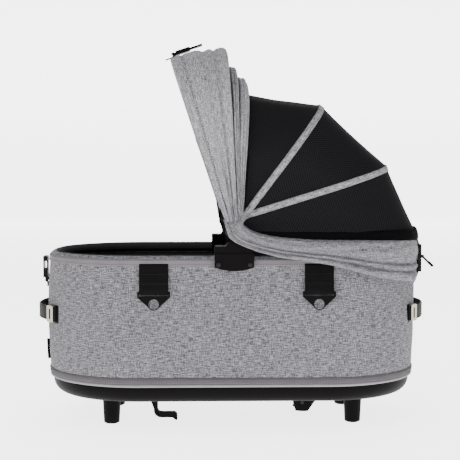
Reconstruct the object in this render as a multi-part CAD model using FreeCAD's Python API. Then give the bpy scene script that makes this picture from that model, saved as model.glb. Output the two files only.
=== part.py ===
import FreeCAD, Part
import math
import os

# Carrycot of a pet stroller: moulded base with feet and frame hooks, soft oval body,
# carry handles, and a folding fabric hood on six bows that turn about one hinge axis.
# Millimetres, +Z up, head end (hood) towards +X, left side towards -Y.

V = FreeCAD.Vector

# overall position: the shapes are built about the middle of the body, then shifted
CENTRE_SHIFT = 8.5

# soft body: plan with rounded ends that swells a little at mid height
HALF_LENGTH = 325.0
HALF_WIDTH = 181.5
SWELL_LENGTH = 5.0
SWELL_WIDTH = 3.5
SWELL_Z = 192.0
SWELL_SPAN = 112.0
END_FLAT = 17.0
BODY_BOTTOM = 86.2
LINING_BOTTOM = 93.3
BODY_TOP = 288.3
FABRIC = (0.0, 2.2)
BOARD = (2.5, 5.5)
LINING = (5.8, 7.3)
TAPE = (-1.2, -0.2)

# rim
RIM_Z = 296.0
RIM_INSET = 7.5
RIM_TUBE_R = 5.0
HEM_INNER_R = 5.3
HEM_OUTER_R = 7.5

# moulded base
TRAY_HALF = (321.0, 176.0)
TRAY_CORNER = 160.0
TRAY_BOTTOM = 52.0
TRAY_TOP = 92.0
TRAY_WALL = 3.5
TRAY_FLOOR = 4.0
TRAY_EDGE_R = 22.0
TRAY_RIB_TOP = 59.4
UNDERSIDE = TRAY_BOTTOM - 0.2
PIPING_R = 2.6
PIPING_Z = 83.0

# feet
FOOT_X = 213.5
FOOT_Y = 80.0
FOOT_TOP_R = 16.3
FOOT_LOW_R = 13.8
PAD_R = 10.7
FOOT_EAR = (24.5, 7.0, 47.8)

# frame fittings under the base
FITTING_Y = 110.0
HOOK_WIDTH = 14.0
LATCH_WIDTH = 34.0
LATCH_SLOT = 24.0
SHAFT = (120.0, 43.0)
SHAFT_R = 3.0
SPRING_TURNS = 5
SPRING_PITCH = 1.2
SPRING_R = 4.3
SPRING_WIRE_R = 0.5

# side straps and their tabs
STRAP_X = (-135.0, 143.0)
STRAP_WIDTH = 48.6
BAR_Y = 189.0
BAR_Z = 242.0
BAR_R = 2.0
TAB_THICK = 2.5
TAB_HOLE_R = 8.75
TAB_HOLE_Z = 222.7

# carry handles
HANDLE_CENTRE = 183.7
HANDLE_R = (161.8, 164.8)
HANDLE_SWEEP = 41.0
HANDLE_Z = (183.5, 208.5)
KEEPER_ANGLE = 35.0

# front buckle and rear strap
BUCKLE_PIVOT = (-334.0, 248.0)
PULL_PIVOT = (347.0, 290.0)
PULL_Y = -24.0

# hood: all bows turn about one axis
AXIS_X = -8.0
AXIS_Z = 345.0
PIN_R = 4.0
PIN_HOLE_R = 4.06
EYE_R = 9.5
SADDLE_TOP = 320.0
SADDLE_Y = 190.8
BOW_WIDTH = 9.0
BOW_THICK = 2.2
LAYER_PITCH = 2.8
LAYER_START = 183.7
ARCH_CORNER_R = 110.0
ARCH_CROWN_R = 480.0
LEVER_R = 9.0
LEVER_TOP = 32.0

# bow: lean from vertical (+ to the rear), offset along its own width, crown height, layer
BOWS = {
    "mesh_bow_rear": (72.8, -17.2, 303.7, 0),
    "mesh_bow_middle": (37.2, 4.0, 272.6, 1),
    "mesh_bow_front": (4.4, 18.0, 237.0, 2),
    "fan_bow_rear": (-1.0, 13.0, 285.0, 3),
    "fan_bow_front": (-3.1, 9.0, 317.0, 4),
    "front_bow": (-18.4, 5.0, 315.0, 5),
}
FAN_HALF = 203.8
FAN_THICK = 1.6
MESH_THICK = 1.5
WIRE_Z = 329.0
WIRE_R = 3.0
WIRE_HALF = 188.0
WIRE_REACH = 337.8
SKIRT_HALF = 200.0
SKIRT_REACH = 345.2
SKIRT_THICK = 3.0
SKIRT_TOP = 334.3
MESH_FOOT_Z = 336.2


def save(name, *shapes):
    """Write one node; several separate solids go in one compound."""
    moved = []
    for shape in shapes:
        copy = shape.copy()
        copy.translate(V(-CENTRE_SHIFT, 0, 0))
        moved.append(copy)
    node = moved[0] if len(moved) == 1 else Part.makeCompound(moved)
    node.exportStep("parts/" + name + ".step")


def block(x_range, y_range, z_range):
    size = [abs(b - a) for a, b in (x_range, y_range, z_range)]
    low = [min(pair) for pair in (x_range, y_range, z_range)]
    return Part.makeBox(size[0], size[1], size[2], V(low[0], low[1], low[2]))


def rod_x(y, z, radius, x0, x1):
    return Part.makeCylinder(radius, x1 - x0, V(x0, y, z), V(1, 0, 0))


def rod_y(x, z, radius, y0, y1):
    return Part.makeCylinder(radius, y1 - y0, V(x, y0, z), V(0, 1, 0))


def rod_z(x, y, radius, z0, z1):
    return Part.makeCylinder(radius, z1 - z0, V(x, y, z0), V(0, 0, 1))


def other_side(shape):
    return shape.mirror(V(0, 0, 0), V(0, 1, 0))


def other_end(shape):
    return shape.mirror(V(0, 0, 0), V(1, 0, 0))


def outline(start, *steps):
    """Closed face in XZ. A step is an end point, or an arc's middle and end points."""
    edges = []
    here = V(start[0], 0, start[1])
    for step in steps + (start,):
        if isinstance(step[0], tuple):
            middle = V(step[0][0], 0, step[0][1])
            end = V(step[1][0], 0, step[1][1])
            edges.append(Part.Arc(here, middle, end).toShape())
        else:
            end = V(step[0], 0, step[1])
            if (end - here).Length > 1e-6:
                edges.append(Part.makeLine(here, end))
        here = end
    return Part.Face(Part.Wire(edges))


def slab_y(face, y0, y1):
    solid = face.extrude(V(0, y1 - y0, 0))
    solid.translate(V(0, y0, 0))
    return solid


def polygon_x(points, x0, x1):
    """Prism along X from (y, z) corners."""
    corners = [V(x0, y, z) for y, z in points]
    face = Part.Face(Part.makePolygon(corners + corners[:1]))
    return face.extrude(V(x1 - x0, 0, 0))


def plan_wire(half_len, half_wid, radius, z):
    """Rounded rectangle in plan, one wire of four lines and four arcs."""
    cx = half_len - radius
    cy = half_wid - radius
    k = radius * math.sqrt(0.5)
    edges = []
    quarter = [
        ((cx, -half_wid), (cx + k, -cy - k), (half_len, -cy), (half_len, cy)),
        ((half_len, cy), (cx + k, cy + k), (cx, half_wid), (-cx, half_wid)),
        ((-cx, half_wid), (-cx - k, cy + k), (-half_len, cy), (-half_len, -cy)),
        ((-half_len, -cy), (-cx - k, -cy - k), (-cx, -half_wid), (cx, -half_wid)),
    ]
    for start, middle, end, after in quarter:
        points = [V(p[0], p[1], z) for p in (start, middle, end)]
        edges.append(Part.Arc(*points).toShape())
        edges.append(Part.makeLine(V(end[0], end[1], z), V(after[0], after[1], z)))
    return Part.Wire(edges)


def plan_solid(half_len, half_wid, radius, z0, z1, low_edge=0.0):
    face = Part.Face(plan_wire(half_len, half_wid, radius, z0))
    solid = face.extrude(V(0, 0, z1 - z0))
    if low_edge:
        edges = [e for e in solid.Edges if e.BoundBox.ZMax < z0 + 0.01]
        solid = solid.makeFillet(low_edge, edges)
    return solid


def body_wire(offset, z):
    swell = 1 - ((z - SWELL_Z) / SWELL_SPAN) ** 2
    half_len = HALF_LENGTH + SWELL_LENGTH * swell - offset
    half_wid = HALF_WIDTH + SWELL_WIDTH * swell - offset
    return plan_wire(half_len, half_wid, half_wid - END_FLAT, z)


def body_layer(offsets, z0, z1, spans=4):
    """Skin of the soft body between two offsets from its outer face."""
    outer, inner = [
        Part.makeLoft([body_wire(o, z0 + (z1 - z0) * i / spans) for i in range(spans + 1)], True)
        for o in offsets
    ]
    return outer.cut(inner)


def body_ring(offset, z, radius):
    """Round bead that follows the plan of the body."""
    path = body_wire(offset, z)
    start = path.OrderedVertexes[0].Point
    profile = Part.Wire(Part.makeCircle(radius, start, V(1, 0, 0)))
    return path.makePipeShell([profile], True, False)


# ---------------------------------------------------------------- base
def make_base():
    outer = plan_solid(TRAY_HALF[0], TRAY_HALF[1], TRAY_CORNER, TRAY_BOTTOM, TRAY_TOP, TRAY_EDGE_R)
    floor_z = TRAY_BOTTOM + TRAY_FLOOR
    inner = plan_solid(
        TRAY_HALF[0] - TRAY_WALL,
        TRAY_HALF[1] - TRAY_WALL,
        TRAY_CORNER - TRAY_WALL,
        floor_z,
        TRAY_TOP + 1,
        TRAY_EDGE_R - TRAY_FLOOR,
    )
    tray = outer.cut(inner)
    ribs = [block((x - 1.5, x + 1.5), (-140, 140), (floor_z, TRAY_RIB_TOP)) for x in (-150, -50, 50, 150)]
    ribs += [block((-270, 270), (y - 1.5, y + 1.5), (floor_z, TRAY_RIB_TOP)) for y in (-45, 45)]
    tray = tray.fuse(ribs).removeSplitter()
    holes = [
        rod_z(sx * FOOT_X, sy * FOOT_Y, 2.5, TRAY_BOTTOM - 1, floor_z + 1)
        for sx in (-1, 1)
        for sy in (-1, 1)
    ]
    save("base_tray", tray.cut(holes))

    pads = []
    screws = []
    for end, sx in (("front", -1), ("rear", 1)):
        for side, sy in (("left", -1), ("right", 1)):
            x = sx * FOOT_X
            y = sy * FOOT_Y
            foot = Part.makeCone(FOOT_LOW_R, FOOT_TOP_R, UNDERSIDE - 1.2, V(x, y, 1.2))
            low = [e for e in foot.Edges if e.BoundBox.ZMax < 1.3]
            foot = foot.makeFillet(1.8, low)
            reach, half, low_z = FOOT_EAR
            ear = block((x, x - sx * reach), (y - half, y + half), (low_z, UNDERSIDE))
            foot = foot.fuse(ear).removeSplitter()
            foot = foot.cut([rod_z(x, y, PAD_R + 0.3, 0, 5.5), rod_z(x, y, 2.4, 38, TRAY_BOTTOM)])
            save("foot_" + end + "_" + side, foot)
            pad = rod_z(x, y, PAD_R, 0, 5.2)
            pads.append(pad.makeFillet(1.0, [e for e in pad.Edges if e.BoundBox.ZMax < 0.1]))
            head = rod_z(x, y, 5.0, floor_z + 0.1, floor_z + 3.1)
            head = head.makeFillet(1.6, [e for e in head.Edges if e.BoundBox.ZMin > floor_z + 3])
            slots = [
                block((x - 3, x + 3), (y - 0.6, y + 0.6), (floor_z + 1.6, floor_z + 4)),
                block((x - 0.6, x + 0.6), (y - 3, y + 3), (floor_z + 1.6, floor_z + 4)),
            ]
            screws.append(head.fuse(rod_z(x, y, 2.2, 39, floor_z + 1)).cut(slots))
    save("foot_pads", *pads)
    save("base_screws", *screws)

    save("floor_board", plan_solid(300, 155, 142, 59.5, 63.0))
    mat = plan_solid(308, 163, 150, 63.3, 85.0)
    rims = [e for e in mat.Edges if e.BoundBox.ZLength < 0.01]
    save("floor_mat", mat.makeFillet(7.0, rims))


# ---------------------------------------------------------------- frame fittings
def make_fittings():
    hook_face = outline(
        (-138, UNDERSIDE),
        (-138, 29.5),
        ((-134.2, 20.3), (-125, 16.5)),
        (-106, 16.5),
        (-100.5, 12.4),
        ((-97.4, 12.3), (-96.8, 14.5)),
        (-97, 20),
        ((-99.2, 24.2), (-104, 25.5)),
        (-124, 25.5),
        ((-128.95, 27.55), (-131, 32.5)),
        (-131, UNDERSIDE),
    )
    half = HOOK_WIDTH / 2
    hook = slab_y(hook_face, FITTING_Y - half, FITTING_Y + half)
    flange = block((-144, -116), (FITTING_Y - 13, FITTING_Y + 13), (UNDERSIDE - 3, UNDERSIDE))
    flange = flange.cut([rod_z(-121, FITTING_Y + s * 9, 1.8, 40, 60) for s in (-1, 1)])
    web = slab_y(outline((-146, UNDERSIDE), (-138, 30), (-138, UNDERSIDE)), FITTING_Y - 2, FITTING_Y + 2)
    hook = hook.fuse([flange, web]).removeSplitter()
    save("frame_hooks", hook, other_side(hook))

    half = LATCH_WIDTH / 2
    gap = LATCH_SLOT / 2
    shell_face = outline((104, UNDERSIDE), (108, 29.5), ((119, 28.2), (130, 28.6)), (146, UNDERSIDE))
    shell = slab_y(shell_face, FITTING_Y - half, FITTING_Y + half)
    slot = block((100, 128), (FITTING_Y - gap, FITTING_Y + gap), (20, 60))
    bore = rod_y(SHAFT[0], SHAFT[1], SHAFT_R + 0.06, FITTING_Y - half - 1, FITTING_Y + half + 1)
    shell = shell.cut([slot, bore])
    save("latch_housings", shell, other_side(shell))

    jaw_face = outline(
        (104.5, 34),
        (109, 33.5),
        (123, 37.5),
        ((125.2, 43), (122, 47.5)),
        (112, 47.5),
        ((108, 45.5), (107.5, 42.5)),
        (109, 38.5),
        (105.5, 37.5),
    )
    jaw = slab_y(jaw_face, FITTING_Y - 4, FITTING_Y + 4)
    jaw = jaw.cut(rod_y(SHAFT[0], SHAFT[1], SHAFT_R + 0.03, 90, 130))
    save("latch_jaws", jaw, other_side(jaw))
    reach = FITTING_Y + half - 1
    save("latch_shaft", rod_y(SHAFT[0], SHAFT[1], SHAFT_R, -reach, reach))

    # the close-wound torsion spring beside each jaw, as its separate turns
    turns = [
        Part.makeTorus(SPRING_R, SPRING_WIRE_R, V(SHAFT[0], y, SHAFT[1]), V(0, 1, 0))
        for y in [FITTING_Y + 4.8 + i * SPRING_PITCH for i in range(SPRING_TURNS)]
    ]
    save("latch_springs", *turns, *[other_side(turn) for turn in turns])


# ---------------------------------------------------------------- soft body
def make_body():
    save("body_fabric", body_layer(FABRIC, BODY_BOTTOM, BODY_TOP))
    save("wall_board", body_layer(BOARD, LINING_BOTTOM, BODY_TOP))
    save("body_lining", body_layer(LINING, LINING_BOTTOM, BODY_TOP))
    save("upper_binding", body_layer(TAPE, 287.0, 298.0, 2))
    save("lower_binding", body_layer(TAPE, BODY_BOTTOM + 0.3, 97.0, 2))
    save("lower_piping", body_ring(1.1, PIPING_Z, PIPING_R))
    save("rim_tube", body_ring(RIM_INSET, RIM_Z, RIM_TUBE_R))
    hem = body_ring(RIM_INSET, RIM_Z, HEM_OUTER_R)
    save("rim_hem", hem.cut(body_ring(RIM_INSET, RIM_Z, HEM_INNER_R)))


def make_straps():
    """Side webbings with a triangular tab hung on a bar in each loop."""
    half = STRAP_WIDTH / 2
    webbings = []
    for end, x in (("front", STRAP_X[0]), ("rear", STRAP_X[1])):
        wedge = polygon_x(
            [(183.4, 286.6), (184.9, 286.6), (BAR_Y + 4, BAR_Z), (BAR_Y - 3.8, BAR_Z)],
            x - half,
            x + half,
        )
        loop = rod_x(BAR_Y, BAR_Z, 4.0, x - half, x + half)
        hole = rod_x(BAR_Y, BAR_Z, BAR_R + 0.5, x - half - 1, x + half + 1)
        webbing = wedge.fuse(loop).cut(hole)
        webbings += [webbing, other_side(webbing)]

        arm = half + 3.3
        tip_r = 11.0
        tip_z = TAB_HOLE_Z + 1.0
        plate_face = outline(
            (x - arm, BAR_Z),
            (x - arm, BAR_Z - 7),
            (x - tip_r * 0.86, tip_z - tip_r * 0.5),
            ((x, tip_z - tip_r), (x + tip_r * 0.86, tip_z - tip_r * 0.5)),
            (x + arm, BAR_Z - 7),
            (x + arm, BAR_Z),
        )
        plate = slab_y(plate_face, BAR_Y - TAB_THICK / 2, BAR_Y + TAB_THICK / 2)
        window = block((x - half - 0.4, x + half + 0.4), (BAR_Y - 3, BAR_Y + 3), (BAR_Z - 5.6, BAR_Z + 3))
        hole = rod_y(x, TAB_HOLE_Z, TAB_HOLE_R, BAR_Y - 3, BAR_Y + 3)
        bar = rod_x(BAR_Y, BAR_Z, BAR_R, x - arm, x + arm)
        tab = plate.cut([window, hole]).fuse(bar)
        save("strap_tab_" + end + "_right", tab)
        save("strap_tab_" + end + "_left", other_side(tab))
    save("strap_webbing", *webbings)


def make_handles():
    height = HANDLE_Z[1] - HANDLE_Z[0]
    centre = V(HANDLE_CENTRE, 0, HANDLE_Z[0])
    outer = Part.makeCylinder(HANDLE_R[1], height, centre, V(0, 0, 1), 2 * HANDLE_SWEEP)
    outer.rotate(centre, V(0, 0, 1), -HANDLE_SWEEP)
    inner = Part.makeCylinder(HANDLE_R[0], height, centre)
    handle = outer.cut(inner)
    save("rear_handle", handle)
    save("front_handle", other_end(handle))

    keepers = []
    for turn in (-KEEPER_ANGLE, KEEPER_ANGLE):
        z_mid = sum(HANDLE_Z) / 2
        ring = block((160.1, 166.5), (-11, 11), (z_mid - 14.3, z_mid + 14.3))
        ring = ring.makeFillet(2.0, [e for e in ring.Edges if e.BoundBox.XLength > 6])
        passage = block((161.1, 165.5), (-12, 12), (z_mid - 12.9, z_mid + 12.9))
        window = block((164, 168), (-2.5, 2.5), (z_mid - 9, z_mid + 9))
        ring = ring.cut([passage, window])
        ring.rotate(V(0, 0, 0), V(0, 0, 1), turn)
        ring.translate(V(HANDLE_CENTRE, 0, 0))
        keepers += [ring, other_end(ring)]
    save("handle_keepers", *keepers)


def make_end_fittings():
    """Front buckle that takes the hood clip, and the strap, buckle and zip at the rear."""
    px, pz = BUCKLE_PIVOT
    band = block((-332.2, -330.2), (-10.3, 10.3), (224, pz + 1))
    loop = rod_y(px, pz, 3.4, -10.3, 10.3)
    save("front_buckle_strap", band.fuse(loop).cut(rod_y(px, pz, 2.2, -11, 11)).removeSplitter())

    case = block((-341.2, -332.8), (-14, 14), (252.5, 291))
    case = case.makeFillet(2.2, [e for e in case.Edges if e.BoundBox.ZLength > 30])
    pocket = block((-339.2, -334.8), (-10.5, 10.5), (262, 292))
    windows = [block((-342, -330), (s * 10, s * 15), (268, 282)) for s in (-1, 1)]
    arms = [block((-337.5, -331.8), (s * 10.8, s * 14), (pz - 2.6, 256)) for s in (-1, 1)]
    buckle = case.fuse(arms).cut([pocket] + windows).fuse(rod_y(px, pz, 1.8, -14, 14))
    save("front_buckle", buckle.removeSplitter())

    low = outline(
        (330.9, 224), (332.4, 224), (332.4, 235.4), (340.1, 249.6), (344.3, 262), (344.3, 270),
        (342.8, 270), (342.8, 262.4), (338.8, 250.4), (330.9, 236),
    )
    high = outline(
        (342.8, 303), (344.3, 303), (344.3, 312), (340.4, 327), (337.6, 327), (342.8, 311.6),
    )
    save("rear_strap", slab_y(low, -10, 10), slab_y(high, -10, 10))
    case = block((339.0, 348.0), (-14, 14), (261, 311))
    case = case.makeFillet(3.0, [e for e in case.Edges if e.BoundBox.ZLength > 40])
    ends = [block((341.2, 345.9), (-10.6, 10.6), span) for span in ((258, 274), (299, 314))]
    groove = block((346.8, 350), (-16, 16), (285, 287))
    save("rear_buckle", case.cut(ends + [groove]))

    zx, zz = PULL_PIVOT
    body = block((337.7, 343.2), (PULL_Y - 5, PULL_Y + 5), (zz - 6, zz + 6))
    body = body.makeFillet(1.5, [e for e in body.Edges if e.BoundBox.XLength > 5])
    ears = [block((343, zx + 2.6), (PULL_Y + s * 3, PULL_Y + s * 4.4), (zz - 2.8, zz + 2.8)) for s in (-1, 1)]
    slider = body.fuse(ears).cut(rod_y(zx, zz, 1.6, PULL_Y - 6, PULL_Y + 6)).removeSplitter()
    save("zip_slider", slider)
    root = ((zx - 1.2, zz - 1.4), (zx - 1.6, zz + 1), (zx + 1, zz + 1.9))
    neck = outline(*root, (360.6, 279.4), (357.8, 276.8))
    pull = slab_y(neck, PULL_Y - 1.2, PULL_Y + 1.2)
    grip = outline((356.4, 278), (359.6, 281.4), (367.4, 273.6), (364, 270.4))
    pull = pull.fuse([
        slab_y(grip, PULL_Y - 5, PULL_Y + 5),
        rod_y(zx, zz, 1.2, PULL_Y - 4.3, PULL_Y + 4.3),
        rod_y(zx, zz, 2.2, PULL_Y - 2.4, PULL_Y + 2.4),
    ])
    save("zip_pull", pull.removeSplitter())


# ---------------------------------------------------------------- hinge fittings
def make_hinges():
    clip_face = outline((-33, 308), (-33, 285), ((0, 278.6), (33, 285)), (33, 308))
    clip = slab_y(clip_face, 186.2, 192)
    saddle = block((-33, 33), (165.3, SADDLE_Y), (307, SADDLE_TOP))
    saddle = saddle.makeFillet(4.0, [e for e in saddle.Edges if e.BoundBox.ZLength > 12])
    low = SADDLE_TOP - 1
    tower_face = outline(
        (-18, low),
        ((-14.2, 321.8), (-12.5, 327)),
        (AXIS_X - EYE_R, AXIS_Z),
        ((AXIS_X, AXIS_Z + EYE_R), (AXIS_X + EYE_R, AXIS_Z)),
        (20, 329),
        (33, 329),
        (33, low),
    )
    tower = slab_y(tower_face, 176, 181)
    shoulder_face = outline((-18, low), ((-12.2, 322.3), (-9.5, 328.6)), (27, 328.6), (27, low))
    shoulder = slab_y(shoulder_face, 180, SADDLE_Y)
    socket = block((27, 40), (183, 192.6), (314, 334)).fuse(block((20, 28), (180, SADDLE_Y), (316, 328.6)))
    bracket = clip.fuse([saddle, tower, shoulder, socket]).removeSplitter()
    cuts = [
        rod_y(AXIS_X, AXIS_Z, PIN_R + 0.06, 170, 190),
        rod_x(WIRE_HALF, WIRE_Z, WIRE_R + 0.15, 28.5, 42),
    ]
    cuts += [rod_y(x, 289.5, 2.0, 180, 195) for x in (-26.5, 26.5)]
    bracket = bracket.cut(cuts)
    save("hinge_bracket_right", bracket)
    save("hinge_bracket_left", other_side(bracket))

    clamp = block((-33, 33), (160, 165), (283, 320))
    clamp = clamp.makeFillet(4.0, [e for e in clamp.Edges if 4 < e.BoundBox.YLength < 6])
    save("clamp_plates", clamp, other_side(clamp))

    screws = []
    for x in (-26.5, 26.5):
        head = rod_y(x, 289.5, 3.8, 192.1, 194.3)
        head = head.makeFillet(1.2, [e for e in head.Edges if e.BoundBox.YMin > 194.2])
        head = head.cut([
            block((x - 2.2, x + 2.2), (193.2, 195), (289.0, 290.0)),
            block((x - 0.5, x + 0.5), (193.2, 195), (287.3, 291.7)),
        ])
        screw = head.fuse(rod_y(x, 289.5, 1.8, 186.5, 192.5))
        screws += [screw, other_side(screw)]
    save("bracket_screws", *screws)

    pin = rod_y(AXIS_X, AXIS_Z, PIN_R, 172, 203)
    inner_head = rod_y(AXIS_X, AXIS_Z, 6.5, 172, 175.8)
    cap = rod_y(AXIS_X, AXIS_Z, 7.5, 201.9, 205)
    cap = cap.makeFillet(1.8, [e for e in cap.Edges if e.BoundBox.YMin > 204.9])
    pin = pin.fuse([inner_head, cap]).removeSplitter()
    save("hinge_pins", pin, other_side(pin))


# ---------------------------------------------------------------- hood
def arch_edges(half_w, top, foot, plane, corner_r, crown_r):
    """Legs, two corner arcs and a crown arc, from the left foot over to the right foot."""
    reach = half_w - corner_r
    corner_z = (top - crown_r) + math.sqrt((crown_r - corner_r) ** 2 - reach ** 2)
    crown_z = top - crown_r
    scale = crown_r / (crown_r - corner_r)
    tangent_y = reach * scale
    tangent_z = crown_z + (corner_z - crown_z) * scale
    tilt = math.atan2(tangent_z - corner_z, tangent_y - reach) / 2
    middle_y = reach + corner_r * math.cos(tilt)
    middle_z = corner_z + corner_r * math.sin(tilt)
    return [
        Part.makeLine(V(plane, -half_w, foot), V(plane, -half_w, corner_z)),
        Part.Arc(
            V(plane, -half_w, corner_z), V(plane, -middle_y, middle_z), V(plane, -tangent_y, tangent_z)
        ).toShape(),
        Part.Arc(V(plane, -tangent_y, tangent_z), V(plane, 0, top), V(plane, tangent_y, tangent_z)).toShape(),
        Part.Arc(
            V(plane, tangent_y, tangent_z), V(plane, middle_y, middle_z), V(plane, half_w, corner_z)
        ).toShape(),
        Part.makeLine(V(plane, half_w, corner_z), V(plane, half_w, foot)),
    ]


def arch_ring(half_w, top, foot, plane, thick):
    """Closed wire round the section of a flat strip or panel bent into an arch."""
    outer = arch_edges(half_w, top, foot, plane, ARCH_CORNER_R, ARCH_CROWN_R)
    inner = arch_edges(
        half_w - thick, top - thick, foot, plane, ARCH_CORNER_R - thick, ARCH_CROWN_R - thick
    )
    ends = [
        Part.makeLine(V(plane, s * half_w, foot), V(plane, s * (half_w - thick), foot)) for s in (-1, 1)
    ]
    return Part.Wire(Part.__sortEdges__(outer + inner + ends))


def lean(shape, angle):
    """Turn a shape built upright at the origin about the hinge axis."""
    turned = shape.copy()
    turned.rotate(V(0, 0, 0), V(0, 1, 0), angle)
    turned.translate(V(AXIS_X, 0, AXIS_Z))
    return turned


def make_bow(name):
    """Flat bow strip with a lever eye at each foot, in its own layer on the pin."""
    angle, offset, top, layer = BOWS[name]
    outer_y = LAYER_START + LAYER_PITCH * layer
    low = offset - BOW_WIDTH / 2
    high = offset + BOW_WIDTH / 2
    ring = arch_ring(outer_y, top, LEVER_TOP - 2, low, BOW_THICK)
    strip = Part.Face(ring).extrude(V(BOW_WIDTH, 0, 0))
    web_face = outline((-LEVER_R + 0.5, 0), (low, LEVER_TOP), (high, LEVER_TOP), (LEVER_R - 0.5, 0))
    lever = slab_y(web_face, outer_y - BOW_THICK, outer_y)
    lever = lever.fuse(rod_y(0, 0, LEVER_R, outer_y - BOW_THICK, outer_y))
    bow = strip.fuse([lever, other_side(lever)])
    bow = bow.cut(rod_y(0, 0, PIN_HOLE_R, -outer_y - 1, outer_y + 1)).removeSplitter()
    save(name, lean(bow, angle))


def make_panel(name, first, second, foot, thick):
    """Panel stretched between two arches, each (bow or lean, plane, half width, crown)."""
    rings = []
    for where, plane, half_w, top in (first, second):
        angle = BOWS[where][0] if where in BOWS else where
        rings.append(lean(arch_ring(half_w, top, foot, plane, thick), angle))
    save(name, Part.makeLoft(rings, True, True))


def make_hood():
    for name in BOWS:
        make_bow(name)

    make_panel(
        "fan_panel_front", ("front_bow", -1.6, FAN_HALF, 319.0), ("fan_bow_front", 3.8, FAN_HALF, 319.0),
        40.0, FAN_THICK,
    )
    make_panel(
        "fan_panel_middle", ("fan_bow_front", 14.0, FAN_HALF, 290.0), ("fan_bow_rear", 18.5, FAN_HALF, 290.0),
        40.0, FAN_THICK,
    )
    make_panel(
        "fan_panel_rear", ("fan_bow_rear", 19.3, FAN_HALF, 245.0), ("mesh_bow_front", 23.0, FAN_HALF, 245.0),
        40.0, FAN_THICK,
    )
    make_panel(
        "mesh_panel_front", ("mesh_bow_front", 23.5, 189.3, 239.0), ("mesh_bow_middle", -1.0, 186.5, 274.6),
        45.0, MESH_THICK,
    )
    make_panel(
        "mesh_panel_middle", ("mesh_bow_middle", 9.0, 186.5, 274.6), ("mesh_bow_rear", -22.2, 183.7, 305.0),
        60.0, MESH_THICK,
    )
    make_panel(
        "mesh_panel_rear", ("mesh_bow_rear", -12.2, 183.7, 305.0), (90.0, AXIS_Z - MESH_FOOT_Z, 189.0, 341.4),
        60.0, MESH_THICK,
    )

    # black levers of the front bow, outside all the eyes
    lever_face = outline((-10, 0), (-3.5, 40), ((-1.5, 43.2), (2, 44)), (12, 44), (10.5, 0))
    lever = slab_y(lever_face, 198.0, 201.4).fuse(rod_y(0, 0, 10.3, 198.0, 201.4))
    lever = lever.cut(rod_y(0, 0, PIN_HOLE_R, 190, 210)).removeSplitter()
    angle = BOWS["front_bow"][0]
    save("front_bow_levers", lean(lever, angle), lean(other_side(lever), angle))

    # clip that hangs from the crown of the front bow
    band = block((-10.5, 8), (-9.6, 9.6), (319.4, 321.2)).fuse(rod_y(6, 324, 3.4, -9.6, 9.6))
    band = band.cut(rod_y(6, 324, 2.2, -10, 10)).removeSplitter()
    save("hood_clip_strap", lean(band, angle))
    plate = block((11, 38), (-13.5, 13.5), (321.6, 328.6))
    plate = plate.makeFillet(1.6, [e for e in plate.Edges if e.BoundBox.YLength > 20])
    arms = [block((4, 12), (s * 10.1, s * 13.5), (321.8, 326.2)) for s in (-1, 1)]
    tongue = block((37, 58), (-3, 3), (323.4, 326.8))
    prongs = [block((37, 61), (s * 6.6, s * 10), (323.4, 326.8)) for s in (-1, 1)]
    barbs = [block((52, 61), (s * 9, s * 11.6), (323.4, 326.8)) for s in (-1, 1)]
    clip = plate.fuse(arms + [tongue] + prongs + barbs + [rod_y(6, 324, 1.8, -13.5, 13.5)])
    save("hood_clip", lean(clip.removeSplitter(), angle))

    # steel wire round the foot of the hood and the fabric skirt that hangs from it
    path = Part.Wire(arch_edges(WIRE_HALF, WIRE_REACH, 38.0, 0.0, ARCH_CORNER_R, ARCH_CROWN_R))
    profile = Part.Wire(Part.makeCircle(WIRE_R, V(0, -WIRE_HALF, 38.0), V(0, 0, 1)))
    wire = path.makePipeShell([profile], True, False)
    wire = lean(wire, 90.0)
    wire.translate(V(0, 0, WIRE_Z - AXIS_Z))
    save("hood_base_wire", wire)

    band = []
    for half_w, reach, thick, drop in (
        (SKIRT_HALF, SKIRT_REACH, SKIRT_THICK, 90.0),
        (SKIRT_HALF, SKIRT_REACH, 10.0, -1.6),
    ):
        ring = arch_ring(half_w, reach, 23.0, 0.0, thick)
        solid = lean(Part.Face(ring).extrude(V(drop, 0, 0)), 90.0)
        solid.translate(V(0, 0, SKIRT_TOP - AXIS_Z))
        band.append(solid)
    side = outline((0, 322.4), (0, 340), (345, 340), (345, 249), (338, 249))
    skirt = band[0].fuse(band[1]).common(slab_y(side, -210, 210)).removeSplitter()
    save("hood_skirt", skirt)


os.makedirs("parts", exist_ok=True)
make_base()
make_fittings()
make_body()
make_straps()
make_handles()
make_end_fittings()
make_hinges()
make_hood()
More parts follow.
